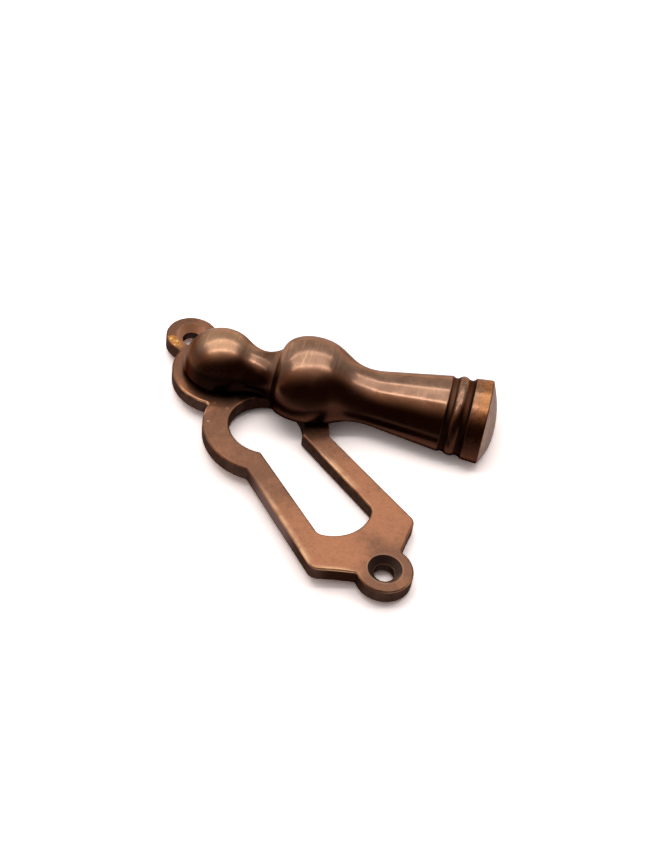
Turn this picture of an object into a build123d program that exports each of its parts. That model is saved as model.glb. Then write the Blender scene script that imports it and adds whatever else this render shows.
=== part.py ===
from build123d import *
import os
from math import atan2, cos, degrees, radians, sin, sqrt

# A covered keyhole escutcheon: a pierced back plate, and a half-round drop cover that swings on a rivet.
# Millimetres. The origin is midway between the two screw holes, on the back face of the plate.
# +Z points out of the door, and +Y points up to the screw hole beside the pivot.

os.makedirs("parts", exist_ok=True)

# Back plate
plate_thickness = 2.3
plate_edge_round = 0.35
inner_corner_round = 0.45

# Screw lugs at the top and bottom of the plate
screw_spacing = 54.0
lug_radius = 4.15
screw_hole_radius = 1.5
countersink_radius = 2.5
countersink_angle = 90

# Round pad that carries the pivot, below the upper screw
pivot_drop = 9.05
pivot_pad_radius = 7.7

# Ring round the upper, round part of the keyhole, below the pivot
keyhole_drop = 13.4
ring_radius = 9.75
ring_hole_radius = 5.7

# Flared skirt below the ring: half its width at the origin, and its corners and foot above the lower screw
skirt_half_width = 7.2
skirt_flare = 0.088
skirt_corner_rise = 5.0
skirt_corner_round = 1.7
skirt_foot_angle = 18.0
skirt_foot_inset = 0.26
skirt_foot_hollow = 0.12

# Slot for the key's bit: half its width at the origin, and its end above the lower screw
slot_half_width = 3.76
slot_flare = 0.062
slot_end_rise = 7.8
slot_end_sag = 2.235
slot_corner_round = 1.4
slot_throat_round = 0.6

# Running fit between the rivet and the plate
running_clearance = 0.05

# Pivot rivet: fixed in the cover, its tail spread in a seat at the back of the plate
rivet_radius = 1.6
rivet_grip = 3.2
rivet_collar_radius = 3.0
rivet_tail_radius = 2.7
rivet_tail_recess = 0.12

# Drop cover: its turn from hanging straight down, and its lift off the plate
cover_turn = 43.7
cover_lift = 0.7

# Profile of the cover: stations are measured from the pivot, radii from the axis
head_radius = 6.1
head_leave_angle = 56.0
shoulder_station = 9.0
shoulder_radius = 5.0
bulb_station = 14.3
bulb_radius = 8.06
stem_station = 25.4
stem_radius = 5.27
stem_end_station = 35.7
stem_end_radius = 7.04

# Fullness of the profile's curves: how far each curve runs along its end direction
neck_pull_from_head = 2.3
neck_pull_to_shoulder = 2.4
neck_angle_at_shoulder = 37.0
bulb_pull_from_shoulder = 1.9
bulb_angle_at_shoulder = 81.0
bulb_pull_to_crown = 3.0
waist_pull_from_crown = 5.15
waist_pull_to_stem = 6.1

# Turned bead between two coved grooves, then the band and the domed end
groove_width = 1.12
groove_depth = 0.27
groove_lip_round = 0.3
bead_width = 1.4
bead_side_radius = 7.05
bead_radius = 7.33
band_width = 2.6
band_start_radius = 7.46
band_end_radius = 7.72
dome_height = 1.78

# Small turned flats where the head and the dome meet the axis
tip_flat_radius = 0.3

# Places that follow from the sizes above
screw_height = screw_spacing / 2
pivot_height = screw_height - pivot_drop
ring_height = pivot_height - keyhole_drop
skirt_corner_depth = screw_height - skirt_corner_rise
slot_end_depth = screw_height - slot_end_rise
cover_back = plate_thickness + cover_lift
cover_direction = (sin(radians(cover_turn)), -cos(radians(cover_turn)), 0)
pivot_axis = Axis((0, pivot_height, 0), (0, 0, 1))
pivot_section = Plane.XZ.offset(-pivot_height)
rivet_bore_radius = rivet_radius + running_clearance
rivet_seat_radius = rivet_tail_radius + rivet_tail_recess + running_clearance * sqrt(2)


def skirt_edge(depth):
    """Right edge of the skirt at a depth below the origin."""
    return (skirt_half_width + skirt_flare * depth, -depth)


def slot_edge(depth):
    """Right edge of the slot at a depth below the origin."""
    return (slot_half_width + slot_flare * depth, -depth)


def left(point):
    """The same point on the left side of the plate."""
    return (-point[0], point[1])


def along(point, angle, distance):
    """The point at a distance from another, in the direction of an angle in degrees."""
    return (point[0] + distance * cos(radians(angle)), point[1] + distance * sin(radians(angle)))


def groove_floor(start, end):
    """The deepest point of a groove, from its two lips."""
    return ((start[0] + end[0]) / 2, (start[1] + end[1]) / 2 - groove_depth)


def vertices_at(sketch, points):
    """The vertices of a sketch that lie nearest to some points."""
    return ShapeList(sketch.vertices().sort_by_distance(point)[0] for point in points)


with BuildPart() as backplate:
    with BuildSketch() as outline:
        with Locations((0, screw_height), (0, -screw_height)):
            Circle(lug_radius)
        with Locations((0, pivot_height)):
            Circle(pivot_pad_radius)
        with Locations((0, ring_height)):
            Circle(ring_radius)
        corner = skirt_edge(skirt_corner_depth)
        foot = along((0, -screw_height), skirt_foot_angle, lug_radius - skirt_foot_inset)
        run = corner[0] - foot[0]
        drop = corner[1] - foot[1]
        bow = skirt_foot_hollow / sqrt(run**2 + drop**2)
        hollow = ((corner[0] + foot[0]) / 2 - bow * drop, (corner[1] + foot[1]) / 2 + bow * run)
        with BuildLine():
            skirt_top = skirt_edge(-ring_height)
            Polyline(left(corner), left(skirt_top), skirt_top, corner)
            ThreePointArc(corner, hollow, foot)
            Line(foot, left(foot))
            ThreePointArc(left(foot), left(hollow), left(corner))
        make_face()
        tips = (corner, left(corner))
        fillet(outline.vertices() - vertices_at(outline, tips), inner_corner_round)
        fillet(vertices_at(outline, tips), skirt_corner_round)
    extrude(amount=plate_thickness)
    fillet(backplate.faces().sort_by(Axis.Z)[-1].outer_wire().edges(), plate_edge_round)

    with BuildSketch() as keyhole:
        with Locations((0, ring_height)):
            Circle(ring_hole_radius)
        slot_foot = slot_edge(slot_end_depth - slot_end_sag)
        slot_top = slot_edge(-ring_height)
        with BuildLine():
            Polyline(left(slot_foot), left(slot_top), slot_top, slot_foot)
            ThreePointArc(slot_foot, (0, -slot_end_depth), left(slot_foot))
        make_face()
        fillet(keyhole.vertices().group_by(Axis.Y)[-1], slot_throat_round)
        fillet(keyhole.vertices().group_by(Axis.Y)[0], slot_corner_round)
    extrude(amount=plate_thickness, mode=Mode.SUBTRACT)
    front = backplate.faces().filter_by(Plane.XY).sort_by(Axis.Z)[-1]
    fillet(front.inner_wires()[0].edges(), plate_edge_round)

    with Locations((0, screw_height, plate_thickness), (0, -screw_height, plate_thickness)):
        CounterSinkHole(
            screw_hole_radius,
            countersink_radius,
            depth=plate_thickness,
            counter_sink_angle=countersink_angle,
        )
    with BuildSketch(pivot_section):
        with BuildLine():
            Polyline(
                (0, 0),
                (rivet_seat_radius, 0),
                (rivet_bore_radius, rivet_seat_radius - rivet_bore_radius),
                (rivet_bore_radius, plate_thickness),
                (0, plate_thickness),
                close=True,
            )
        make_face()
    revolve(axis=pivot_axis, mode=Mode.SUBTRACT)

with BuildPart() as swing_cover:
    head_leave = along((0, 0), head_leave_angle, head_radius)
    shoulder = (shoulder_station, shoulder_radius)
    crown = (bulb_station, bulb_radius)
    stem_start = (stem_station, stem_radius)
    stem_end = (stem_end_station, stem_end_radius)
    stem_angle = degrees(atan2(stem_end_radius - stem_radius, stem_end_station - stem_station))
    neck_start_pull = along(head_leave, head_leave_angle - 90, neck_pull_from_head)
    neck_end_pull = along(shoulder, neck_angle_at_shoulder, -neck_pull_to_shoulder)
    bulb_start_pull = along(shoulder, bulb_angle_at_shoulder, bulb_pull_from_shoulder)
    bulb_end_pull = along(crown, 0, -bulb_pull_to_crown)
    waist_start_pull = along(crown, 0, waist_pull_from_crown)
    waist_end_pull = along(stem_start, stem_angle, -waist_pull_to_stem)
    bead_start = (stem_end_station + groove_width, bead_side_radius)
    bead_crest = (bead_start[0] + bead_width / 2, bead_radius)
    bead_end = (bead_start[0] + bead_width, bead_side_radius)
    band_start = (bead_end[0] + groove_width, band_start_radius)
    band_end = (band_start[0] + band_width, band_end_radius)
    dome_radius = (band_end_radius**2 + dome_height**2) / (2 * dome_height)
    dome_centre = band_end[0] + dome_height - dome_radius
    dome_half = band_end_radius / 2
    dome_half_station = dome_centre + sqrt(dome_radius**2 - dome_half**2)
    dome_tip_station = dome_centre + sqrt(dome_radius**2 - tip_flat_radius**2)
    head_tip_station = -sqrt(head_radius**2 - tip_flat_radius**2)
    flat_back = Plane((0, pivot_height, cover_back), x_dir=cover_direction, z_dir=(0, 0, 1))
    with BuildSketch(flat_back) as profile:
        with BuildLine():
            Line((head_tip_station, 0), (head_tip_station, tip_flat_radius))
            ThreePointArc((head_tip_station, tip_flat_radius), left(head_leave), head_leave)
            Bezier(head_leave, neck_start_pull, neck_end_pull, shoulder)
            Bezier(shoulder, bulb_start_pull, bulb_end_pull, crown)
            Bezier(crown, waist_start_pull, waist_end_pull, stem_start)
            Line(stem_start, stem_end)
            ThreePointArc(stem_end, groove_floor(stem_end, bead_start), bead_start)
            ThreePointArc(bead_start, bead_crest, bead_end)
            ThreePointArc(bead_end, groove_floor(bead_end, band_start), band_start)
            Line(band_start, band_end)
            ThreePointArc(band_end, (dome_half_station, dome_half), (dome_tip_station, tip_flat_radius))
            Line((dome_tip_station, tip_flat_radius), (dome_tip_station, 0))
            Line((dome_tip_station, 0), (head_tip_station, 0))
        make_face()
        fillet(vertices_at(profile, (stem_end, band_start)), groove_lip_round)
    revolve(axis=Axis((0, pivot_height, cover_back), cover_direction), revolution_arc=180)
    with BuildSketch(flat_back):
        Circle(rivet_radius)
    extrude(amount=rivet_grip, mode=Mode.SUBTRACT)

with BuildPart() as pivot_rivet:
    collar_face = plate_thickness + running_clearance
    tail_top = rivet_tail_recess + rivet_tail_radius - rivet_radius
    with BuildSketch(pivot_section):
        with BuildLine():
            Polyline(
                (0, rivet_tail_recess),
                (rivet_tail_radius, rivet_tail_recess),
                (rivet_radius, tail_top),
                (rivet_radius, collar_face),
                (rivet_collar_radius, collar_face),
                (rivet_collar_radius, cover_back),
                (rivet_radius, cover_back),
                (rivet_radius, cover_back + rivet_grip),
                (0, cover_back + rivet_grip),
                close=True,
            )
        make_face()
    revolve(axis=pivot_axis)

backplate.part.label = "backplate"
export_step(backplate.part, "parts/backplate.step")

swing_cover.part.label = "swing_cover"
export_step(swing_cover.part, "parts/swing_cover.step")

pivot_rivet.part.label = "pivot_rivet"
export_step(pivot_rivet.part, "parts/pivot_rivet.step")
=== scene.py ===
from math import atan2, cos, degrees, pi, radians, sin

import bmesh
import bpy
from mathutils import Matrix, Vector
from mathutils.geometry import interpolate_bezier


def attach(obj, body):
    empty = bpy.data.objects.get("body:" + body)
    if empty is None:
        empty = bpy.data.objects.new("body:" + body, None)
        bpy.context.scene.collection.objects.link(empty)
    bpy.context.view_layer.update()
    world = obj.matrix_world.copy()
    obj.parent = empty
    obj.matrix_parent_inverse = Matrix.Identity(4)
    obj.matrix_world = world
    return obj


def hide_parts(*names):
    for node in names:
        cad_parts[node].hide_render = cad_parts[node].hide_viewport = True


# A covered keyhole escutcheon in aged bronze, laid on a white table with its cover swung aside.
# Sizes are in millimetres and become metres where a mesh or a material is made. Angles are in degrees.

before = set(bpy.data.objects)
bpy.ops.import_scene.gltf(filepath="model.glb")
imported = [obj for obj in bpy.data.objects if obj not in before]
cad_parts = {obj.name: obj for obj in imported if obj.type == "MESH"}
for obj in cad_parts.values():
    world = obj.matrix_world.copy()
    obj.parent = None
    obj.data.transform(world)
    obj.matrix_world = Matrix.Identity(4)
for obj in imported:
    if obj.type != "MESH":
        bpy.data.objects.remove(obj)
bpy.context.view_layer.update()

MM = 0.001
DEGREE = radians(1)

# Back plate
plate_thickness = 2.3
screw_height = 27.0
screw_hole_radius = 1.5
countersink_radius = 2.5
skirt_half_width = 7.2
skirt_flare = 0.088
slot_half_width = 3.76
slot_flare = 0.062

# Pivot and cover
pivot_height = 17.95
running_clearance = 0.05
cover_turn = 43.7
cover_lift = 0.7
cover_back = plate_thickness + cover_lift
cover_heading = cover_turn - 90

# Profile of the cover: stations along its axis from the pivot, radii from the axis
head_radius = 6.1
head_leave_angle = 56.0
shoulder = (9.0, 5.0)
crown = (14.3, 8.06)
stem_start = (25.4, 5.27)
stem_end = (35.7, 7.04)
neck_pull_from_head = 2.3
neck_pull_to_shoulder = 2.4
neck_angle_at_shoulder = 37.0
bulb_pull_from_shoulder = 1.9
bulb_angle_at_shoulder = 81.0
bulb_pull_to_crown = 3.0
waist_pull_from_crown = 5.15
waist_pull_to_stem = 6.1
groove_width = 1.12
groove_depth = 0.27
bead_width = 1.4
bead_side_radius = 7.05
bead_radius = 7.33
band_width = 2.6
band_start_radius = 7.46
band_end_radius = 7.72
dome_height = 1.78

bead_start = (stem_end[0] + groove_width, bead_side_radius)
bead_crest = (bead_start[0] + bead_width / 2, bead_radius)
bead_end = (bead_start[0] + bead_width, bead_side_radius)
band_start = (bead_end[0] + groove_width, band_start_radius)
band_end = (band_start[0] + band_width, band_end_radius)

# How far the turned corners are eased back from their points
crease_ease = 0.42
groove_lip_ease = 0.15
band_edge_ease = 0.12
back_edge_ease = 0.1
rivet_edge_ease = 0.09

# Pivot rivet
rivet_radius = 1.6
rivet_grip = 3.2
rivet_collar_radius = 3.0
rivet_tail_radius = 2.7
rivet_tail_recess = 0.12

# Smoothness of the turned pieces
curve_steps = 28
head_steps = 40
dome_steps = 20
groove_steps = 8
bead_steps = 12
turn_steps = 112
rivet_steps = 72
ease_steps = 3

# Smooth shading: the angle from which a corner stays crisp, and the weight of large faces
cover_crisp_angle = 38
rivet_crisp_angle = 30
plate_crisp_angle = 40
area_weight = 100

# The z part of a normal: at least this on the plate's flats, at most this on its walls
flat_upright = 0.9999
wall_upright = 0.001

# Points closer than this are one point
turned_join = 0.00001
corner_join = 0.0001
cast_join = 0.001


def along(point, angle, reach):
    """The point at a reach from another, in the direction of an angle."""
    return (point[0] + reach * cos(radians(angle)), point[1] + reach * sin(radians(angle)))


def bezier(start, start_pull, end_pull, end):
    """Points of a cubic curve between two ends, without the first one."""
    knots = [Vector((*point, 0)) for point in (start, start_pull, end_pull, end)]
    return [(p.x, p.y) for p in interpolate_bezier(*knots, curve_steps)][1:]


def arc(centre, radius, start_angle, end_angle, steps):
    """Points of a circle between two angles, without the first one."""
    turn = (end_angle - start_angle) / steps
    return [along(centre, start_angle + turn * (i + 1), radius) for i in range(steps)]


def arc_through(start, middle, end, steps):
    """Points of the circle through three points, from the first to the last, without the first one."""
    a, b, c = (Vector(point) for point in (start, middle, end))
    u = b - a
    v = c - a
    across = Vector((
        v.y * u.length_squared - u.y * v.length_squared,
        u.x * v.length_squared - v.x * u.length_squared,
    ))
    centre = a + across / (2 * u.cross(v))
    first, second, third = (point - centre for point in (a, b, c))
    sweep = first.angle_signed(second) + second.angle_signed(third)
    start_angle = degrees(atan2(first.y, first.x))
    return arc(centre, first.length, start_angle, start_angle - degrees(sweep), steps)


def groove(start, end):
    """Points of a coved groove between its two lips, without the first one."""
    floor = ((start[0] + end[0]) / 2, (start[1] + end[1]) / 2 - groove_depth)
    return arc_through(start, floor, end, groove_steps)


def soft_corner(before, corner, after, width):
    """Two runs of points joined at a corner, with the corner rounded off over a width on each side."""
    start = [p for p in before if (Vector(p) - Vector(corner)).length > width]
    end = [p for p in after if (Vector(p) - Vector(corner)).length > width]
    return start + bezier(start[-1], corner, corner, end[0]) + end[1:]


def cover_profile():
    """The cover's outline from the tip of its head to the tip of its dome."""
    head_leave = along((0, 0), head_leave_angle, head_radius)
    stem_angle = degrees(atan2(stem_end[1] - stem_start[1], stem_end[0] - stem_start[0]))
    dome_radius = (band_end_radius**2 + dome_height**2) / (2 * dome_height)
    dome_centre = (band_end[0] + dome_height - dome_radius, 0)
    dome_angle = degrees(atan2(band_end_radius, band_end[0] - dome_centre[0]))
    points = [(-head_radius, 0)]
    points += arc((0, 0), head_radius, 180, head_leave_angle, head_steps)
    neck = bezier(
        head_leave,
        along(head_leave, head_leave_angle - 90, neck_pull_from_head),
        along(shoulder, neck_angle_at_shoulder, -neck_pull_to_shoulder),
        shoulder,
    )
    rise = bezier(
        shoulder,
        along(shoulder, bulb_angle_at_shoulder, bulb_pull_from_shoulder),
        along(crown, 0, -bulb_pull_to_crown),
        crown,
    )
    points += soft_corner(neck, shoulder, rise, crease_ease)
    points += bezier(
        crown,
        along(crown, 0, waist_pull_from_crown),
        along(stem_start, stem_angle, -waist_pull_to_stem),
        stem_start,
    )
    points += [stem_end]
    points += groove(stem_end, bead_start)
    points += arc_through(bead_start, bead_crest, bead_end, bead_steps)
    points += groove(bead_end, band_start)
    points += [band_end]
    points += arc(dome_centre, dome_radius, dome_angle, 0, dome_steps)
    return points


def chain(bm, points):
    """A row of vertices joined by edges in the x-y plane."""
    verts = [bm.verts.new((x * MM, y * MM, 0)) for x, y in points]
    for pair in zip(verts, verts[1:]):
        bm.edges.new(pair)


def stand_up(bm, heading):
    """Turns a row in the x-y plane upright, with its x side toward a heading."""
    upright = Matrix.Rotation(radians(90), 3, "X")
    turned = Matrix.Rotation(radians(heading), 3, "Z")
    bmesh.ops.rotate(bm, verts=bm.verts[:], cent=(0, 0, 0), matrix=turned @ upright)


def spin(bm, axis, angle, steps, closed):
    """Turns a row of vertices about an axis through the origin into a surface."""
    bmesh.ops.spin(
        bm,
        geom=bm.verts[:] + bm.edges[:],
        cent=(0, 0, 0),
        axis=axis,
        dvec=(0, 0, 0),
        angle=radians(angle),
        steps=steps,
        use_merge=closed,
        use_duplicate=False,
    )


def ease(bm, chosen, kind, width):
    """Rounds edges or corners of a mesh."""
    bmesh.ops.bevel(
        bm,
        geom=chosen,
        offset=width * MM,
        offset_type="OFFSET",
        affect=kind,
        segments=ease_steps,
        profile=0.5,
        material=-1,
        clamp_overlap=False,
    )


def ease_corners(bm, corners, width):
    """Rounds the corners of a row of vertices at some points."""
    marks = [Vector((x * MM, y * MM, 0)) for x, y in corners]
    chosen = [v for v in bm.verts if min((v.co - m).length for m in marks) < corner_join * MM]
    ease(bm, chosen, "VERTICES", width)


def mesh_object(name, bm, finish):
    """Puts a mesh into the scene with a finish."""
    mesh = bpy.data.meshes.new(name)
    bm.to_mesh(mesh)
    bm.free()
    piece = bpy.data.objects.new(name, mesh)
    bpy.context.scene.collection.objects.link(piece)
    mesh.materials.append(finish)
    return piece


def new_piece(name, bm, body, node, finish):
    """Makes a piece that rides on a body, stands for a CAD node and carries a finish."""
    piece = mesh_object(name, bm, finish)
    piece.data.shade_smooth()
    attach(piece, body)
    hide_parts(node)
    return piece


def even_shading(piece, crisp_angle):
    """Keeps corners crisp and flats flat where the surface is shaded smooth."""
    piece.data.set_sharp_from_angle(angle=radians(crisp_angle))
    weigh = piece.modifiers.new("even shading", "WEIGHTED_NORMAL")
    weigh.keep_sharp = True
    weigh.weight = area_weight


def turned_cover(finish):
    """The half-round drop: its profile turned half round, closed by a flat back with the rivet's hole."""
    bm = bmesh.new()
    chain(bm, cover_profile())
    ease_corners(bm, [stem_end, band_start], groove_lip_ease)
    ease_corners(bm, [band_end], band_edge_ease)
    spin(bm, (1, 0, 0), 180, turn_steps, closed=False)
    bmesh.ops.remove_doubles(bm, verts=bm.verts[:], dist=turned_join * MM)
    rim = [e for e in bm.edges if e.is_boundary]
    bmesh.ops.create_circle(bm, cap_ends=False, radius=rivet_radius * MM, segments=rivet_steps)
    hole = [e for e in bm.edges if e.is_wire]
    bmesh.ops.triangle_fill(
        bm,
        use_beauty=True,
        use_dissolve=False,
        edges=rim + hole,
        normal=(0, 0, -1),
    )
    wall = bmesh.ops.extrude_edge_only(bm, edges=hole)["geom"]
    deep_verts = [g for g in wall if isinstance(g, bmesh.types.BMVert)]
    deep_edges = [g for g in wall if isinstance(g, bmesh.types.BMEdge)]
    bmesh.ops.translate(bm, verts=deep_verts, vec=(0, 0, rivet_grip * MM))
    bmesh.ops.contextual_create(bm, geom=deep_verts + deep_edges)
    bmesh.ops.recalc_face_normals(bm, faces=bm.faces[:])
    ease(bm, rim, "EDGES", back_edge_ease)
    seat = Matrix.Translation((0, pivot_height * MM, cover_back * MM))
    aside = Matrix.Rotation(radians(cover_heading), 4, "Z")
    bmesh.ops.transform(bm, matrix=seat @ aside, verts=bm.verts[:])
    piece = new_piece("drop_cover", bm, "cover", "swing_cover", finish)
    even_shading(piece, cover_crisp_angle)


def turned_rivet(finish):
    """The pivot rivet: spread tail, shank, collar and grip, turned about the pivot."""
    collar_face = plate_thickness + running_clearance
    tail_top = rivet_tail_recess + rivet_tail_radius - rivet_radius
    grip_top = cover_back + rivet_grip
    tail_edge = (rivet_tail_radius, rivet_tail_recess)
    collar_edge = (rivet_collar_radius, collar_face)
    bm = bmesh.new()
    chain(bm, [
        (0, rivet_tail_recess),
        tail_edge,
        (rivet_radius, tail_top),
        (rivet_radius, collar_face),
        collar_edge,
        (rivet_collar_radius, cover_back),
        (rivet_radius, cover_back),
        (rivet_radius, grip_top),
        (0, grip_top),
    ])
    ease_corners(bm, [tail_edge, collar_edge], rivet_edge_ease)
    stand_up(bm, 0)
    spin(bm, (0, 0, 1), 360, rivet_steps, closed=True)
    bmesh.ops.remove_doubles(bm, verts=bm.verts[:], dist=turned_join * MM)
    bmesh.ops.recalc_face_normals(bm, faces=bm.faces[:])
    bmesh.ops.translate(bm, verts=bm.verts[:], vec=(0, pivot_height * MM, 0))
    piece = new_piece("pivot_pin", bm, "cover", "pivot_rivet", finish)
    even_shading(piece, rivet_crisp_angle)


def flat_first_normal(loop):
    """The shading normal of a face's corner: flats and walls stay true, rounded edges blend into them."""
    limit = radians(plate_crisp_angle)
    near = [f for f in loop.vert.link_faces if f.normal.angle(loop.face.normal) < limit]
    flats = [f for f in near if abs(f.normal.z) > flat_upright]
    walls = [f for f in near if abs(f.normal.z) < wall_upright]
    total = Vector()
    for face in flats or walls or near:
        total += face.normal * face.calc_area()
    return total.normalized()


def cast_plate(finish):
    """The pierced back plate: the CAD plate's triangles, joined so that its curves shade smoothly."""
    bm = bmesh.new()
    bm.from_mesh(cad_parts["backplate"].data)
    bmesh.ops.remove_doubles(bm, verts=bm.verts[:], dist=cast_join * MM)
    bmesh.ops.recalc_face_normals(bm, faces=bm.faces[:])
    normals = [flat_first_normal(loop) for face in bm.faces for loop in face.loops]
    piece = new_piece("pierced_plate", bm, "plate", "backplate", finish)
    piece.data.normals_split_custom_set(normals)


# Node helpers


def add(tree, kind, inputs=None, **settings):
    """A node with its settings, and its inputs given as numbers or as other nodes' outputs."""
    made = tree.nodes.new(kind)
    for key, value in settings.items():
        setattr(made, key, value)
    for key, value in (inputs or {}).items():
        if isinstance(value, bpy.types.NodeSocket):
            tree.links.new(value, made.inputs[key])
        else:
            made.inputs[key].default_value = value
    return made


def calc(tree, operation, a, b=0.0):
    """A sum, product or other step on two numbers."""
    return add(tree, "ShaderNodeMath", {0: a, 1: b}, operation=operation).outputs[0]


def times(tree, first, *others):
    """The product of some numbers."""
    for other in others:
        first = calc(tree, "MULTIPLY", first, other)
    return first


def plus(tree, first, *others):
    """The sum of some numbers."""
    for other in others:
        first = calc(tree, "ADD", first, other)
    return first


def most(tree, first, *others):
    """The largest of some numbers."""
    for other in others:
        first = calc(tree, "MAXIMUM", first, other)
    return first


def build_up(tree, base, *shares):
    """A base number, with a share of each mask added to it."""
    return plus(tree, base, *(times(tree, mask, share) for mask, share in shares))


def without(tree, mask, share=1.0):
    """What is left of 1 after a share of a mask."""
    return calc(tree, "SUBTRACT", 1.0, times(tree, mask, share))


def step(tree, value, start, end):
    """A smooth rise from 0 at start to 1 at end."""
    inputs = {"Value": value, "From Min": start, "From Max": end}
    return add(tree, "ShaderNodeMapRange", inputs, interpolation_type="SMOOTHSTEP").outputs[0]


def fade(tree, value, span, unit=MM):
    """A smooth rise from 0 to 1 over a span, given by its start and end in a unit."""
    return step(tree, value, span[0] * unit, span[1] * unit)


def zone(tree, value, span, unit=MM):
    """1 inside a span, given by its start, end and softness in a unit, fading to 0 outside."""
    start, end, soft = span
    rise = fade(tree, value, (start - soft, start + soft), unit)
    fall = fade(tree, value, (end + soft, end - soft), unit)
    return times(tree, rise, fall)


def vector(tree, operation, a, b):
    """A step on two vectors."""
    return add(tree, "ShaderNodeVectorMath", {0: a, 1: b}, operation=operation).outputs


def parts(tree, whole):
    """The x, y and z parts of a vector."""
    return add(tree, "ShaderNodeSeparateXYZ", {0: whole}).outputs


def distance(tree, place, point):
    """Distance from a point."""
    return vector(tree, "DISTANCE", place, [v * MM for v in point])["Value"]


def patches(tree, place, spots):
    """The strongest of some round patches: x, y, full radius, outer radius and strength."""
    total = 0.0
    for x, y, inner, outer, strength in spots:
        patch = fade(tree, distance(tree, place, (x, y, 0)), (outer, inner))
        total = most(tree, times(tree, patch, strength), total)
    return total


def cloud(tree, place, size, detail=3.0, roughness=0.5, distortion=0.0):
    """Soft random variation from 0 to 1."""
    inputs = {
        "Vector": place,
        "Scale": 1 / (size * MM),
        "Detail": detail,
        "Roughness": roughness,
        "Distortion": distortion,
    }
    return add(tree, "ShaderNodeTexNoise", inputs).outputs[0]


def swing(tree, variation, amount):
    """Variation from 0 to 1 made to swing about 0."""
    return times(tree, plus(tree, variation, -0.5), amount)


def tint(tree, amount, under, over):
    """One colour over another, by an amount from 0 to 1."""
    inputs = {0: amount, 6: under, 7: over}
    return add(tree, "ShaderNodeMix", inputs, data_type="RGBA", clamp_factor=True).outputs[2]


def seen_rays(tree):
    """1 for what the camera sees, straight, mirrored or through something, and 0 for light that falls."""
    rays = add(tree, "ShaderNodeLightPath").outputs
    return plus(tree, rays["Is Camera Ray"], rays["Is Glossy Ray"], rays["Is Transmission Ray"])


def metal(name):
    """A new node material with a metal shader."""
    finish = bpy.data.materials.new(name)
    finish.use_nodes = True
    tree = finish.node_tree
    shader = tree.nodes["Principled BSDF"]
    shader.inputs["Metallic"].default_value = 1.0
    shader.inputs["Specular Tint"].default_value = edge_tint
    return finish, tree, shader


def dress(tree, shader, colour, rough, lumps, strength, height):
    """Gives a shader its colour, its roughness, and lumps with a strength and a height."""
    tree.links.new(colour, shader.inputs["Base Color"])
    tree.links.new(rough, shader.inputs["Roughness"])
    bump = add(tree, "ShaderNodeBump", {"Strength": strength, "Distance": height * MM, "Height": lumps})
    tree.links.new(bump.outputs[0], shader.inputs["Normal"])


# Colours shared by the pieces
edge_tint = (0.43, 0.41, 0.4, 1)
worn_copper = (0.74, 0.45, 0.26, 1)
dark_patina = (0.075, 0.034, 0.021, 1)
# Near black, for dark patina and for painted shade
black_patina_and_shade = (0.02, 0.007, 0.005, 1)
# Blacker still, only for painted shade
painted_shade_black = (0.004, 0.0015, 0.001, 1)

# Colours of the plate
plate_brown = (0.174, 0.084, 0.051, 1)
plate_copper = (0.34, 0.146, 0.077, 1)
wall_brown = (0.06, 0.036, 0.029, 1)
# Pale wall colour, a painted reflection of the bright floor
wall_reflection_pale = (0.165, 0.113, 0.104, 1)
wall_dark = (0.036, 0.02, 0.015, 1)
# Countersink cones: painted light in the upper one, painted shade in the lower one
lit_cone_copper = (0.64, 0.34, 0.21, 1)
shaded_cone_brown = (0.085, 0.055, 0.046, 1)
rubbed_gold = (0.5, 0.205, 0.04, 1)
bright_gold = (0.9, 0.52, 0.25, 1)

# Places on the plate: x, y, full radius, outer radius and strength
rubbed_and_lit_places = (
    (-4.5, -20.5, 3.0, 7.5, 1.0),
    (6.0, -18.5, 3.0, 7.5, 0.9),
    (-6.7, -14.5, 2.0, 7.0, 0.7),
    (6.5, -11.0, 2.0, 6.0, 0.65),
    (0.8, -30.4, 0.8, 2.2, 0.55),
    # Painted light: the pad left of the head, lightened against the head's dark reflection
    (-6.2, 14.6, 2.0, 5.0, 1.1),
)
dull_places = (
    (0.0, -21.6, 1.0, 4.5, 0.25),
    (0.6, -28.0, 3.0, 5.0, 0.45),
    (-0.5, 30.4, 1.0, 3.5, 0.4),
)
# Painted reflection: the left arm's wall lightened as if mirroring the bright floor
reflection_lit_walls = ((-8.0, -10.0, 3.0, 8.0, 0.9),)
dark_walls = ((-5.6, -24.6, 1.6, 3.8, 0.9),)
# Worn edges, lightened also as painted highlight where rounded edges catch light
worn_and_lit_edges = (
    (-6.0, -23.2, 2.2, 4.2, 1.0),
    (-9.2, -19.5, 0.8, 2.4, 0.8),
    (3.9, -8.0, 2.6, 5.0, 0.8),
    (-5.4, 12.6, 1.8, 3.2, 0.9),
    (-7.2, 15.2, 1.6, 3.2, 0.75),
    (4.9, -16.0, 1.0, 3.0, 0.35),
    (0.0, -31.0, 1.5, 3.5, 0.35),
)
# Painted glints: small bright specks on the front near the pad
glint_specks = (
    (-4.62, 12.15, 0.05, 0.36, 0.5),
    (-3.55, 10.32, 0.05, 0.34, 0.3),
    (-7.54, 9.3, 0.05, 0.28, 0.45),
)
# Painted shade on the plate close to the cover's head and under its bulb
painted_shade_places = (
    (-1.4, 13.2, 0.8, 2.0, 0.8),
    (0.6, 11.5, 1.0, 2.3, 0.9),
    (2.8, 9.6, 1.2, 3.5, 0.85),
    (4.6, 9.4, 1.2, 4.2, 0.85),
)
gold_places = (
    (-3.35, 27.6, 0.5, 1.0, 1.0),
    (-3.3, 26.6, 0.5, 1.1, 0.95),
    (-3.0, 25.8, 0.2, 0.8, 0.6),
)
# Painted glints on the gold fleck
gold_glints = (
    (-3.45, 27.75, 0.1, 0.4, 0.8),
    (-2.95, 26.75, 0.1, 0.4, 0.7),
)

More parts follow.
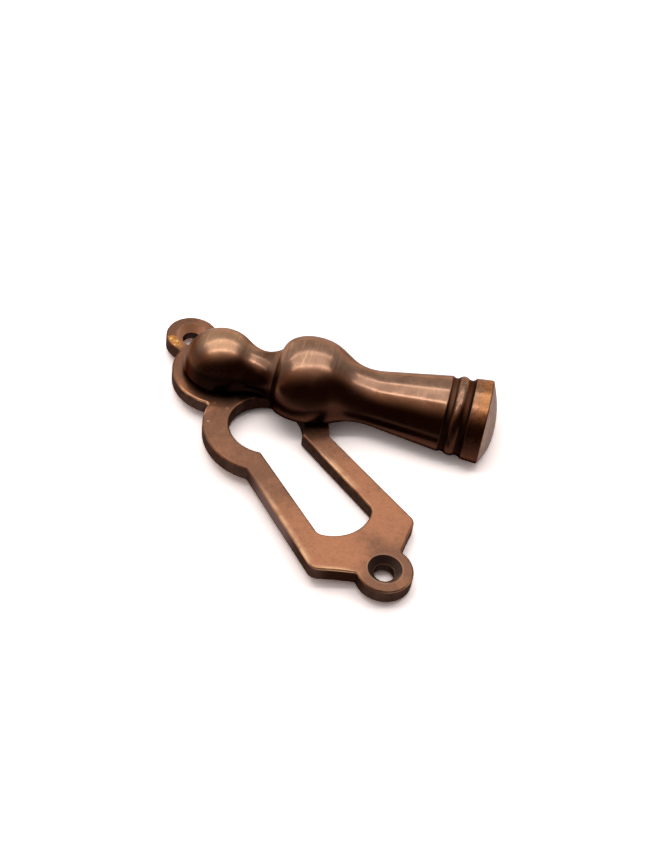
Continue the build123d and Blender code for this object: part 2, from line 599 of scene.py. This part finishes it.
# Parts of the plate by the z part of the surface's normal: where each starts and where it is full
front_facing = (0.9, 0.97)
wall_facing = (0.6, 0.15)
back_facing = (-0.9, -0.97)
rim_below_front = (0.995, 0.93)
rim_above_wall = (0.1, 0.45)
cone_below_front = (0.95, 0.85)
cone_above_wall = (0.4, 0.55)

# Rubbed strips along three edges, lightened also as painted highlight of a wider rounded edge: the fade
# from the edge, and the stretches down and across the plate
left_strip = (1.1, 0.2)
left_strip_down = (7, 21, 4)
slot_strip = (1.3, 0.4)
slot_strip_down = (5, 12, 3)
slot_strip_across = (2.0, 3.0)
foot_strip = (0.9, 0.3)
foot_strip_down = (20, 22)
foot_strip_across = (-8.6, -4.5, 0.6)
foot_edge_normal = (0.586, -0.81)
foot_edge_offset = 23.1

# Countersinks, by distance from the screw's axis
lip_zone = (countersink_radius + 0.02, countersink_radius + 0.22, 0.08)
cone_fade = (countersink_radius + 0.03, countersink_radius - 0.03)
bore_lip_fade = (screw_hole_radius + 0.22, screw_hole_radius)

# Random variation on the plate: where each tone starts and where it is full
rub_tone = (0.2, 0.6)
grain_tone = (0.4, 0.75)
wall_tone = (0.35, 0.65)
back_tone = (0.35, 0.7)
bright_flake_tone = (0.56, 0.72)
dull_flake_tone = (0.44, 0.34)
copper_tone = (-0.35, 1.1)

# How strongly each tone shows on the plate
mottle_swing = 1.7
blotch_swing = 1.3
grain_dark = 0.3
strip_wear_and_sheen = 0.45
# Countersink lips: rubbed wear, partly painted highlight
lip_wear_and_sheen = 0.12
bore_lip_wear_and_sheen = 0.6
bore_lip_copper = 0.4
dull_flake_brown = 0.6

# Surface of the plate
plate_rough = 0.27
plate_bump = 0.22
plate_lump_height = 0.04


def rubbed_and_lit_strips(tree, flat):
    """Strips beside the skirt's left edge, the slot's right edge and the left foot, rubbed and painted
    lighter as highlight.
    """
    across = parts(tree, flat)["X"]
    down = times(tree, parts(tree, flat)["Y"], -1.0)
    from_left = build_up(tree, skirt_half_width * MM, (across, 1.0), (down, skirt_flare))
    from_slot = build_up(tree, -slot_half_width * MM, (across, 1.0), (down, -slot_flare))
    from_foot = build_up(
        tree,
        foot_edge_offset * MM,
        (across, foot_edge_normal[0]),
        (down, foot_edge_normal[1]),
    )
    return most(
        tree,
        times(tree, fade(tree, from_left, left_strip), zone(tree, down, left_strip_down)),
        times(
            tree,
            fade(tree, from_slot, slot_strip),
            fade(tree, across, slot_strip_across),
            zone(tree, down, slot_strip_down),
        ),
        times(
            tree,
            fade(tree, from_foot, foot_strip),
            zone(tree, across, foot_strip_across),
            fade(tree, down, foot_strip_down),
        ),
    )


def plate_finish():
    """Satin bronze on the front, browner patina on the walls, rubbed to copper in some places, with painted
    shade by the cover and painted light on some edges, a wall, the pad and the upper countersink.
    """
    finish, tree, shader = metal("plate bronze")
    coords = add(tree, "ShaderNodeTexCoord")
    place = coords.outputs["Object"]
    flat = vector(tree, "MULTIPLY", place, (1, 1, 0))["Vector"]
    facing = parts(tree, coords.outputs["Normal"])["Z"]
    front = step(tree, facing, *front_facing)
    wall = step(tree, facing, *wall_facing)
    rim = times(tree, step(tree, facing, *rim_below_front), step(tree, facing, *rim_above_wall))
    slope = times(tree, step(tree, facing, *cone_above_wall), step(tree, facing, *cone_below_front))
    mottle = cloud(tree, place, size=1.2, detail=5.0, roughness=0.65, distortion=0.4)
    grain = cloud(tree, place, size=0.35, detail=4.0, roughness=0.7)
    blotch = cloud(tree, place, size=5.0, detail=2.0, roughness=0.5, distortion=0.6)
    flake = cloud(tree, place, size=0.42, detail=2.0, roughness=0.6, distortion=0.8)
    rub = step(tree, cloud(tree, place, size=1.6, detail=2.0), *rub_tone)

    # Front, from brown to copper
    # Coppery places are rubbed wear; the one on the pad is painted light
    shade = plus(
        tree,
        patches(tree, flat, rubbed_and_lit_places),
        times(tree, patches(tree, flat, dull_places), -1.0),
        swing(tree, mottle, mottle_swing),
        swing(tree, blotch, blotch_swing),
    )
    colour = tint(tree, step(tree, shade, *copper_tone), plate_brown, plate_copper)
    colour = tint(tree, times(tree, step(tree, grain, *grain_tone), grain_dark), colour, dark_patina)
    # Rubbed strips by three edges, partly painted highlight
    colour = tint(tree, times(tree, rubbed_and_lit_strips(tree, flat), rub, strip_wear_and_sheen), colour, worn_copper)

    # Walls and back
    side = tint(tree, step(tree, mottle, *wall_tone), wall_dark, wall_brown)
    # Painted reflection lightens the left arm's wall
    side = tint(tree, patches(tree, flat, reflection_lit_walls), side, wall_reflection_pale)
    side = tint(tree, patches(tree, flat, dark_walls), side, black_patina_and_shade)
    colour = tint(tree, wall, colour, side)
    cast_back = tint(tree, step(tree, mottle, *back_tone), plate_brown, dark_patina)
    colour = tint(tree, step(tree, facing, *back_facing), colour, cast_back)

    # Countersinks and worn edges, the edges partly painted highlight
    worn = times(tree, rim, patches(tree, flat, worn_and_lit_edges), rub)
    # Painted glints near the pad
    worn = most(tree, worn, times(tree, front, patches(tree, flat, glint_specks)))
    sunk = 0.0
    # Each cone gets its colour: painted light above, painted shade below
    for height, cone_colour in ((screw_height, lit_cone_copper), (-screw_height, shaded_cone_brown)):
        reach = distance(tree, flat, (0, height, 0))
        # Rubbed lip round the countersink, partly painted highlight
        worn = most(tree, worn, times(tree, zone(tree, reach, lip_zone), front, rub, lip_wear_and_sheen))
        cone = times(tree, fade(tree, reach, cone_fade), slope)
        sunk = most(tree, sunk, cone)
        colour = tint(tree, cone, colour, cone_colour)
        # Rubbed bore lip inside the cone, partly painted highlight
        bore_lip = times(tree, fade(tree, reach, bore_lip_fade), cone, rub, bore_lip_wear_and_sheen)
        colour = tint(tree, bore_lip, colour, tint(tree, bore_lip_copper, cone_colour, worn_copper))
    # Worn copper on edges and countersink lips, partly painted highlight, and painted glints
    colour = tint(tree, worn, colour, worn_copper)
    # Painted shade on the plate close to the cover
    colour = tint(tree, patches(tree, flat, painted_shade_places), colour, black_patina_and_shade)

    # Gold fleck beside the upper screw, with painted glints as bright flakes and two spots
    gold = times(tree, front, patches(tree, flat, gold_places))
    leaf = tint(tree, step(tree, flake, *bright_flake_tone), rubbed_gold, bright_gold)
    dull = times(tree, step(tree, flake, *dull_flake_tone), dull_flake_brown)
    colour = tint(tree, gold, colour, tint(tree, dull, leaf, plate_brown))
    colour = tint(tree, times(tree, front, patches(tree, flat, gold_glints)), colour, bright_gold)

    rough = build_up(tree, plate_rough, (mottle, 0.16), (wall, 0.22), (gold, -0.1), (sunk, 0.25))
    lumps = build_up(tree, 0.0, (mottle, 0.7), (grain, 0.3))
    dress(tree, shader, colour, rough, lumps, plate_bump, plate_lump_height)
    return finish


# Colours of the cover
cover_brown = (0.255, 0.138, 0.088, 1)
cover_bronze = (0.345, 0.196, 0.128, 1)
crown_gold = (0.47, 0.262, 0.15, 1)
band_gold = (0.41, 0.168, 0.06, 1)
dome_grey = (0.36, 0.284, 0.25, 1)
dome_brown = (0.275, 0.207, 0.177, 1)
groove_brown = (0.072, 0.026, 0.013, 1)
# Painted shade on the lower flanks, as if mirroring the dark room
flank_shade_brown = (0.07, 0.027, 0.014, 1)

# Zones along the cover: start, end and softness, as stations from the pivot
head_zone = (-5.0, 4.6, 1.8)
neck_zone = (6.0, 8.8, 1.4)
hollow_zone = (6.6, 8.6, 0.7)
steep_zone = (7.0, 10.2, 1.1)
crease_zone = (8.1, 9.4, 0.4)
bulb_wall_zone = (9.0, 10.2, 0.4)
bulb_zone = (11.0, 17.5, 1.5)
waist_zone = (18.0, 24.0, 2.0)
band_zone = (band_start[0] + 0.2, band_end[0] - 0.05, 0.12)
brink_zone = (band_end[0] - 0.1, band_end[0] + 0.08, 0.06)
groove_margin = 0.02
groove_soft = 0.14

# Fades along the cover: where each starts and where it is full
tip_fade = (-4.6, -5.8)
scratch_fade = (22.0, 17.0)
turned_fade = (stem_end[0] - 0.3, stem_end[0])
gilt_fade = (band_end[0] - 2.2, band_end[0] - 0.5)
dome_fade = (band_end[0] - 0.05, band_end[0] + 0.12)
head_foot_shade_fade = (9.0, 6.0)
head_foot_shade_tip_fade = (-5.5, -2.0)

# Painted highlight and shade by the lean of the surface, 90 at the top of the round and 0 at its foot
top_lean = (40, 75)
flank_shade_lean = (66, 40)
foot_shade_lean = (30, 21)
sole_lean = (4, 13)
back_edge_lean = (-8, 4, 1.5)
hollow_lean = (68, 50)
bulb_wall_lean = (70, 50)
groove_lean = (66, 36)
head_foot_shade_lean = (34, 22)

# Random variation on the cover: where each tone starts and where it is full, and how far it is drawn out
mottle_tone = (0.3, 0.7)
line_tone = (0.45, 0.7)
scratch_tone = (0.56, 0.68)
worked_tone = (0.42, 0.7)
dome_tone = (0.35, 0.65)
line_draw = (1, 0.03, 0.03)
scratch_draw = (1, 0.12, 0.12)

# How strongly each tone shows on the cover
head_gold_and_sheen = 0.75
bulb_gold_and_sheen = 0.05
line_dark = 0.14
scratch_glint_share = 0.3
neck_dark = 0.72
stem_groove_dark = 0.85
band_groove_dark = 1.0
band_gilt = 0.4
outer_gilt = 0.45
worked_dark = 0.5
brink_dark = 0.6
tip_grey = 0.7
tip_spared = 0.75
dome_spared = 0.8
flank_shade_dark = 0.9
foot_shade_dark = 0.6
sole_shade_dark = 0.22
back_edge_shade_dark = 0.9
hollow_shade_dark = 0.85
bulb_wall_shade_dark = 0.5
groove_flank_shade_dark = 0.8
head_foot_shade_dark = 0.95

# Surface of the cover
cover_rough = 0.1
cover_bump = 0.08
cover_line_height = 0.02


def cover_finish():
    """Burnished bronze with turning lines, dark in the neck and grooves, golden on the head and band, with
    painted highlight on the top and painted shade lower down.
    """
    finish, tree, shader = metal("cover bronze")
    coords = add(tree, "ShaderNodeTexCoord")
    inputs = {
        "Vector": coords.outputs["Object"],
        "Location": (0, pivot_height * MM, cover_back * MM),
        "Rotation": (0, 0, radians(cover_heading)),
    }
    place = add(tree, "ShaderNodeMapping", inputs, vector_type="TEXTURE").outputs[0]
    spot = parts(tree, place)
    station = spot["X"]
    head = zone(tree, station, head_zone)
    neck = zone(tree, station, neck_zone)
    crease = zone(tree, station, crease_zone)
    bulb_wall = zone(tree, station, bulb_wall_zone)
    bulb = zone(tree, station, bulb_zone)
    waist = zone(tree, station, waist_zone)
    tip = fade(tree, station, tip_fade)
    turned = fade(tree, station, turned_fade)
    dome = fade(tree, station, dome_fade)

    # Lean of the surface, or its turn about the axis where the neck and the bulb are steep
    normal_lean = calc(tree, "ARCSINE", parts(tree, coords.outputs["Normal"])["Z"])
    turn = calc(tree, "ARCTAN2", spot["Z"], calc(tree, "ABSOLUTE", spot["Y"]))
    steeper = calc(tree, "SUBTRACT", turn, normal_lean)
    lean = plus(tree, normal_lean, times(tree, zone(tree, station, steep_zone), steeper))
    top = fade(tree, lean, top_lean, DEGREE)

    mottle = cloud(tree, place, size=2.4, detail=4.0, roughness=0.55, distortion=0.3)
    worked = cloud(tree, place, size=0.8, detail=4.0, roughness=0.6, distortion=0.5)
    drawn = vector(tree, "MULTIPLY", place, line_draw)["Vector"]
    lines = cloud(tree, drawn, size=0.2, detail=3.0, roughness=0.6)
    drawn = vector(tree, "MULTIPLY", place, scratch_draw)["Vector"]
    scratches = cloud(tree, drawn, size=0.45, detail=2.0)

    # Bronze, golden on the top of the head, partly rubbed wear and partly painted highlight, with turning
    # lines and scratches
    colour = tint(tree, step(tree, mottle, *mottle_tone), cover_brown, cover_bronze)
    golden = build_up(tree, 0.0, (head, head_gold_and_sheen), (bulb, bulb_gold_and_sheen))
    colour = tint(tree, times(tree, top, golden), colour, crown_gold)
    colour = tint(tree, times(tree, step(tree, lines, *line_tone), line_dark), colour, dark_patina)
    # Scratches lightened only on the top of the head and bulb: real scratches shown as painted glints
    above_stem = times(tree, top, fade(tree, station, scratch_fade))
    scratch_wear_and_glints = times(tree, step(tree, scratches, *scratch_tone), above_stem, scratch_glint_share)
    colour = tint(tree, scratch_wear_and_glints, colour, worn_copper)
    colour = tint(tree, times(tree, neck, neck_dark), colour, dark_patina)

    # Grooves, band and dome
    grooves = 0.0
    for low, high, dark in (
        (stem_end, bead_start, stem_groove_dark),
        (bead_end, band_start, band_groove_dark),
    ):
        cove_zone = (low[0] - groove_margin, high[0] + groove_margin, groove_soft)
        cove = zone(tree, station, cove_zone)
        colour = tint(tree, times(tree, cove, dark), colour, groove_brown)
        grooves = plus(tree, cove, grooves)
    gilt = build_up(tree, band_gilt, (fade(tree, station, gilt_fade), outer_gilt))
    colour = tint(tree, times(tree, zone(tree, station, band_zone), gilt), colour, band_gold)
    stained = times(tree, turned, step(tree, worked, *worked_tone), worked_dark)
    colour = tint(tree, stained, colour, dark_patina)
    end_colour = tint(tree, step(tree, worked, *dome_tone), dome_brown, dome_grey)
    colour = tint(tree, dome, colour, end_colour)
    brink = times(tree, zone(tree, station, brink_zone), brink_dark)
    colour = tint(tree, brink, colour, dark_patina)

    # Tip of the head, then painted shade on the flanks down to the flat back
    colour = tint(tree, times(tree, tip, tip_grey), colour, dome_grey)
    behind_tip = without(tree, tip, tip_spared)
    before_dome = without(tree, dome)
    # Painted shade: the lower flanks darken as if mirroring the dark room
    flank = times(tree, fade(tree, lean, flank_shade_lean, DEGREE), behind_tip, without(tree, dome, dome_spared))
    colour = tint(tree, times(tree, flank, flank_shade_dark), colour, flank_shade_brown)
    # Painted shade at the foot of the round, where it mirrors the shadow beneath
    foot = times(tree, fade(tree, lean, foot_shade_lean, DEGREE), before_dome, behind_tip)
    foot_shade_depth = build_up(tree, foot_shade_dark, (fade(tree, lean, sole_lean, DEGREE), sole_shade_dark))
    colour = tint(tree, times(tree, foot, foot_shade_depth), colour, black_patina_and_shade)
    # Painted shade along the rounded edge into the flat back
    back_edge = times(tree, zone(tree, lean, back_edge_lean, DEGREE), before_dome, back_edge_shade_dark)
    colour = tint(tree, back_edge, colour, painted_shade_black)

    # Painted shade on the steep sides of the neck's hollow, the bulb's wall, the grooves and the head close
    # to the plate
    hollow = times(tree, zone(tree, station, hollow_zone), fade(tree, lean, hollow_lean, DEGREE))
    colour = tint(tree, times(tree, hollow, hollow_shade_dark), colour, black_patina_and_shade)
    # Painted shade on the bulb's steep wall facing the head
    bulb_wall_shade = times(tree, bulb_wall, fade(tree, lean, bulb_wall_lean, DEGREE), bulb_wall_shade_dark)
    colour = tint(tree, bulb_wall_shade, colour, black_patina_and_shade)
    # Painted shade on the lower sides of the grooves
    groove_side_shade = times(tree, grooves, fade(tree, lean, groove_lean, DEGREE), groove_flank_shade_dark)
    colour = tint(tree, groove_side_shade, colour, painted_shade_black)
    # Painted shade on the low sides of the head and neck near the plate
    head_foot_shade = times(
        tree,
        fade(tree, lean, head_foot_shade_lean, DEGREE),
        fade(tree, station, head_foot_shade_fade),
        fade(tree, station, head_foot_shade_tip_fade),
        head_foot_shade_dark,
    )
    colour = tint(tree, head_foot_shade, colour, painted_shade_black)

    rough = build_up(
        tree,
        cover_rough,
        (mottle, 0.1),
        (lines, 0.05),
        (head, 0.08),
        (tip, 0.2),
        (neck, 0.07),
        (crease, 0.14),
        (bulb_wall, 0.08),
        (bulb, 0.06),
        (waist, 0.07),
        (turned, 0.09),
        (grooves, 0.22),
        (dome, 0.16),
    )
    dress(tree, shader, colour, rough, lines, cover_bump, cover_line_height)
    return finish


# Rivet
rivet_brass = (0.5, 0.33, 0.15, 1)
rivet_stain = (0.2, 0.12, 0.06, 1)
stain_tone = (0.35, 0.7)
rivet_rough = 0.3
stain_rough = 0.25
dent_size = 0.8
dent_bump = 0.3
dent_height = 0.1


def rivet_finish():
    """Dull brass with a hammered, slightly stained surface."""
    finish, tree, shader = metal("rivet brass")
    place = add(tree, "ShaderNodeTexCoord").outputs["Object"]
    stain = cloud(tree, place, size=1.1, detail=4.0, roughness=0.6)
    colour = tint(tree, step(tree, stain, *stain_tone), rivet_brass, rivet_stain)
    rough = build_up(tree, rivet_rough, (stain, stain_rough))
    inputs = {"Vector": place, "Scale": 1 / (dent_size * MM)}
    dents = add(tree, "ShaderNodeTexVoronoi", inputs, feature="SMOOTH_F1").outputs["Distance"]
    dress(tree, shader, colour, rough, dents, dent_bump, dent_height)
    return finish


# Stage

# The swung cover outweighs the plate, so the piece lies tipped on the plate's right edge
table_slope = (0.083, -0.0024)
table_drop = 0.81
table_reach = 4000
table_white = (0.92, 0.92, 0.92, 1)
table_glare = (2.06, 1.83, 1.76, 1)
far_glare = (2.2, 2.2, 2.2, 1)
far_fade = (120, 400)

camera_azimuth = -40.655
camera_elevation = 46.277
camera_roll = -9.52
camera_distance = 218.741
camera_offset = (-6.418, 1.499)
camera_lens = 60.12
camera_sensor = 36.0
camera_near = 10
camera_far = 20000

# Lamps: name, angle up from the camera's side over the object, distance, length, width and radiance
lamp_azimuth = camera_azimuth + 9.6
lamp_shift = 30
lamps = (
    ("ceiling panel", 112.6, 500, 720, 352, 0.97),
    ("front tube", 95, 490, 800, 18, 8.5),
    ("rear tube", 129.5, 490, 800, 30, 3.0),
)

room_level = 0.46
room_back = 0.36
room_left = 0.2
horizon_fade = (20, 11)

card_radius = 900
card_top = 86
card_half_turn = 100
card_rows = 14
card_columns = 40
# Painted reflection of the room: the card is dark low down and glows brighter higher up, seen only in the
# metal
card_shade = (0.05, 0.02, 0.014, 1)
card_glow = (0.75, 0.55, 0.42, 1)
card_glow_rise = (52, 100)
card_glow_slant = 18


def toward(azimuth, elevation=0):
    """Direction from the object to a place round it, azimuth 0 at -Y and 90 at +X."""
    level = Vector((sin(radians(azimuth)), -cos(radians(azimuth)), 0))
    return cos(radians(elevation)) * level + Vector((0, 0, sin(radians(elevation))))


def turned_axes(x_axis, y_axis, z_axis):
    """The rotation to three axes."""
    return Matrix((x_axis, y_axis, z_axis)).transposed().to_4x4()


def set_camera():
    """The photograph's camera."""
    roll = radians(camera_roll)
    ahead = -toward(camera_azimuth, camera_elevation)
    level = ahead.cross(Vector((0, 0, 1))).normalized()
    low = ahead.cross(level)
    right = cos(roll) * level + sin(roll) * low
    down = -sin(roll) * level + cos(roll) * low
    offset = camera_offset[0] * right + camera_offset[1] * down + camera_distance * ahead
    data = bpy.data.cameras.new("camera")
    data.lens = camera_lens
    data.sensor_width = camera_sensor
    data.clip_start = camera_near * MM
    data.clip_end = camera_far * MM
    camera = bpy.data.objects.new("camera", data)
    place = Vector((0, 0, plate_thickness)) - offset
    camera.matrix_world = Matrix.Translation(place * MM) @ turned_axes(right, -down, -ahead)
    bpy.context.scene.collection.objects.link(camera)
    bpy.context.scene.camera = camera


def bare_material(name):
    """A new node material without a shader."""
    finish = bpy.data.materials.new(name)
    finish.use_nodes = True
    tree = finish.node_tree
    tree.nodes.remove(tree.nodes["Principled BSDF"])
    return finish, tree


def stage_piece(name, bm, finish):
    """Makes a mesh of the stage, which isn't part of the object."""
    piece = mesh_object(name, bm, finish)
    return piece


def lay_table():
    """A white table, seen only from above, that looks white to the camera and in the metal."""
    bm = bmesh.new()
    bmesh.ops.create_grid(bm, x_segments=1, y_segments=1, size=table_reach * MM)
    for v in bm.verts:
        v.co.z = table_slope[0] * v.co.x + table_slope[1] * v.co.y - table_drop * MM
    white, tree = bare_material("white table")
    place = add(tree, "ShaderNodeTexCoord").outputs["Object"]
    far = fade(tree, distance(tree, place, (0, 0, 0)), far_fade)
    glare = tint(tree, far, table_glare, far_glare)
    colour = tint(tree, seen_rays(tree), table_white, glare)
    matt = add(tree, "ShaderNodeBsdfDiffuse", {"Color": colour}).outputs[0]
    clear = add(tree, "ShaderNodeBsdfTransparent").outputs[0]
    under = add(tree, "ShaderNodeNewGeometry").outputs["Backfacing"]
    mixed = add(tree, "ShaderNodeMixShader", {0: under, 1: matt, 2: clear}).outputs[0]
    tree.links.new(mixed, tree.nodes["Material Output"].inputs["Surface"])
    stage_piece("table", bm, white)


def hang_lamp(name, rise, reach, length, width, radiance):
    """A soft lamp along the cover's axis, at an angle of rise from the camera's side up over the object."""
    heading = toward(lamp_azimuth)
    direction = cos(radians(rise)) * heading + Vector((0, 0, sin(radians(rise))))
    across = Vector((heading.y, -heading.x, 0))
    data = bpy.data.lights.new(name, "AREA")
    data.shape = "RECTANGLE"
    data.size = length * MM
    data.size_y = width * MM
    data.energy = radiance * pi * data.size * data.size_y
    lamp = bpy.data.objects.new(name, data)
    place = direction * reach + across * lamp_shift
    axes = turned_axes(across, direction.cross(across), direction)
    lamp.matrix_world = Matrix.Translation(place * MM) @ axes
    lamp.visible_camera = False
    bpy.context.scene.collection.objects.link(lamp)


def stand_dark_card():
    """The dark room in front of the table, glowing brighter higher up, which only the metal mirrors."""
    bm = bmesh.new()
    chain(bm, [(card_radius, 0)] + arc((0, 0), card_radius, 0, card_top, card_rows))
    stand_up(bm, lamp_azimuth - card_half_turn - 90)
    spin(bm, (0, 0, 1), 2 * card_half_turn, card_columns, closed=False)
    dark, tree = bare_material("dark card")
    dark.cycles.emission_sampling = "NONE"
    place = add(tree, "ShaderNodeTexCoord").outputs["Object"]
    ahead = vector(tree, "DOT_PRODUCT", place, toward(lamp_azimuth))["Value"]
    side = vector(tree, "DOT_PRODUCT", place, toward(lamp_azimuth + 90))["Value"]
    rise = calc(tree, "ARCTAN2", parts(tree, place)["Z"], ahead)
    slanted = build_up(tree, rise, (side, -radians(card_glow_slant) / (card_radius * MM)))
    colour = tint(tree, fade(tree, slanted, card_glow_rise, DEGREE), card_shade, card_glow)
    light = add(tree, "ShaderNodeEmission", {"Color": colour, "Strength": 1.0}).outputs[0]
    tree.links.new(light, tree.nodes["Material Output"].inputs["Surface"])
    card = stage_piece("dark_card", bm, dark)
    card.visible_camera = False
    card.visible_diffuse = False
    card.visible_shadow = False


def light_room():
    """Plain light from all round, stronger from the back and the left, with a horizon that looks white."""
    world = bpy.data.worlds.new("room")
    bpy.context.scene.world = world
    world.use_nodes = True
    tree = world.node_tree
    sky = tree.nodes["Background"]
    sky.inputs["Color"].default_value = (1, 1, 1, 1)
    direction = add(tree, "ShaderNodeTexCoord").outputs["Generated"]
    brighter = -room_back * toward(lamp_azimuth) - room_left * toward(lamp_azimuth + 90)
    slant = vector(tree, "DOT_PRODUCT", direction, brighter)["Value"]
    falling = plus(tree, slant, room_level)
    start, end = (sin(radians(angle)) for angle in horizon_fade)
    horizon = step(tree, parts(tree, direction)["Z"], start, end)
    white = times(tree, seen_rays(tree), horizon)
    level = add(tree, "ShaderNodeMix", {0: white, 2: falling, 3: 1.0}).outputs[0]
    tree.links.new(level, sky.inputs["Strength"])


cast_plate(plate_finish())
turned_cover(cover_finish())
turned_rivet(rivet_finish())

set_camera()
lay_table()
light_room()
for lamp in lamps:
    hang_lamp(*lamp)
stand_dark_card()

bpy.context.scene.view_settings.view_transform = "Standard"
